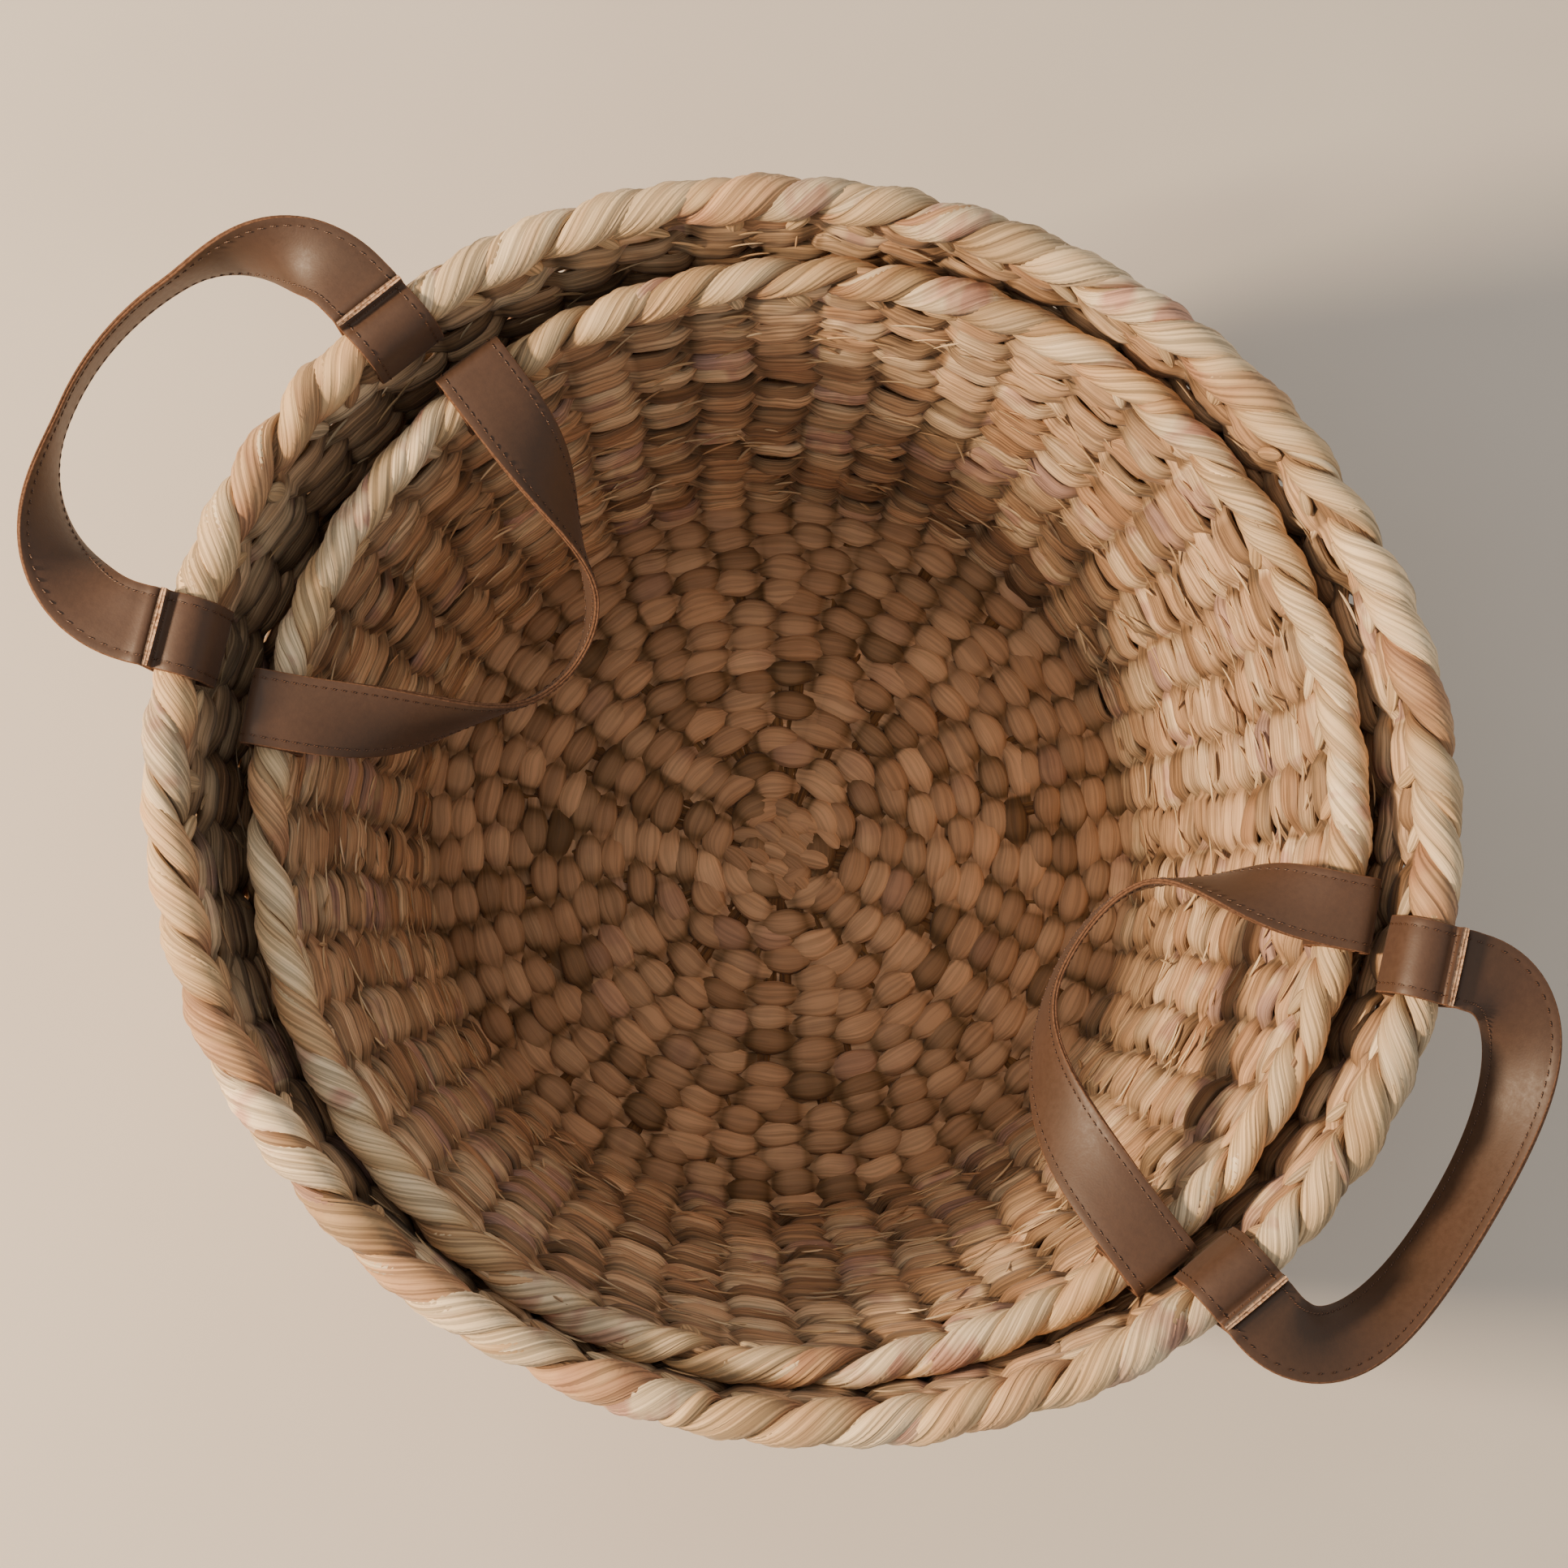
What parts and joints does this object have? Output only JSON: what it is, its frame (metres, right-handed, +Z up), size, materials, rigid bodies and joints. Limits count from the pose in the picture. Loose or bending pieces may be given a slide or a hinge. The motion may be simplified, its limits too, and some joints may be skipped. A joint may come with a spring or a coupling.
{
  "type": "woven laundry basket",
  "caption": "Round woven plant-fibre laundry baskets, one nested in the other, with flared walls, rope borders and leather strap handles that swing up.",
  "frame": {"origin": "on the floor, under the middle of the large basket", "axes": "+Z up, +X through the middle of the right handles, +Y across"},
  "size_m": [0.6812, 0.5, 0.3052],
  "materials": {
    "hyacinth_weave": "dried water hyacinth, flat woven strands",
    "border_rope": "dried water hyacinth, slanting rope border",
    "stake_fibre": "dried water hyacinth stakes",
    "leather_face": "smooth brown leather",
    "leather_lining": "smooth brown leather, pale raw edge",
    "thread": "waxed dark brown sewing thread"
  },
  "bodies": {
    "large_basket": {"large_base_weave": "hyacinth_weave", "large_wall_weave": "hyacinth_weave", "large_stakes": "stake_fibre", "large_rim_border": "border_rope", "large_left_loops_face": "leather_face", "large_left_loops_lining": "leather_lining", "large_left_loops_thread": "thread", "large_right_loops_face": "leather_face", "large_right_loops_lining": "leather_lining", "large_right_loops_thread": "thread"},
    "large_left_handle": {"large_left_handle_face": "leather_face", "large_left_handle_lining": "leather_lining", "large_left_handle_thread": "thread"},
    "large_right_handle": {"large_right_handle_face": "leather_face", "large_right_handle_lining": "leather_lining", "large_right_handle_thread": "thread"},
    "small_basket": {"small_base_weave": "hyacinth_weave", "small_wall_weave": "hyacinth_weave", "small_stakes": "stake_fibre", "small_rim_border": "border_rope", "small_left_loops_face": "leather_face", "small_left_loops_lining": "leather_lining", "small_left_loops_thread": "thread", "small_right_loops_face": "leather_face", "small_right_loops_lining": "leather_lining", "small_right_loops_thread": "thread"},
    "small_left_handle": {"small_left_handle_face": "leather_face", "small_left_handle_lining": "leather_lining", "small_left_handle_thread": "thread"},
    "small_right_handle": {"small_right_handle_face": "leather_face", "small_right_handle_lining": "leather_lining", "small_right_handle_thread": "thread"}
  },
  "joints": [
    {"name": "small_basket_lift", "type": "slide", "parent": "large_basket", "child": "small_basket", "axis": [0, 0, 1], "range_m": [0, 0.32]},
    {"name": "large_left_handle_swing", "type": "hinge", "parent": "large_basket", "child": "large_left_handle", "pos_m": [-0.24233, 0, 0.29904], "axis": [0, 1, 0], "range_deg": [0, 90]},
    {"name": "large_right_handle_swing", "type": "hinge", "parent": "large_basket", "child": "large_right_handle", "pos_m": [0.24233, 0, 0.29904], "axis": [0, -1, 0], "range_deg": [0, 90]},
    {"name": "small_left_handle_swing", "type": "hinge", "parent": "small_basket", "child": "small_left_handle", "pos_m": [-0.20559, 0, 0.27401], "axis": [0, -1, 0], "range_deg": [0, 80]},
    {"name": "small_right_handle_swing", "type": "hinge", "parent": "small_basket", "child": "small_right_handle", "pos_m": [0.20559, 0, 0.27401], "axis": [0, 1, 0], "range_deg": [0, 80]}
  ]
}
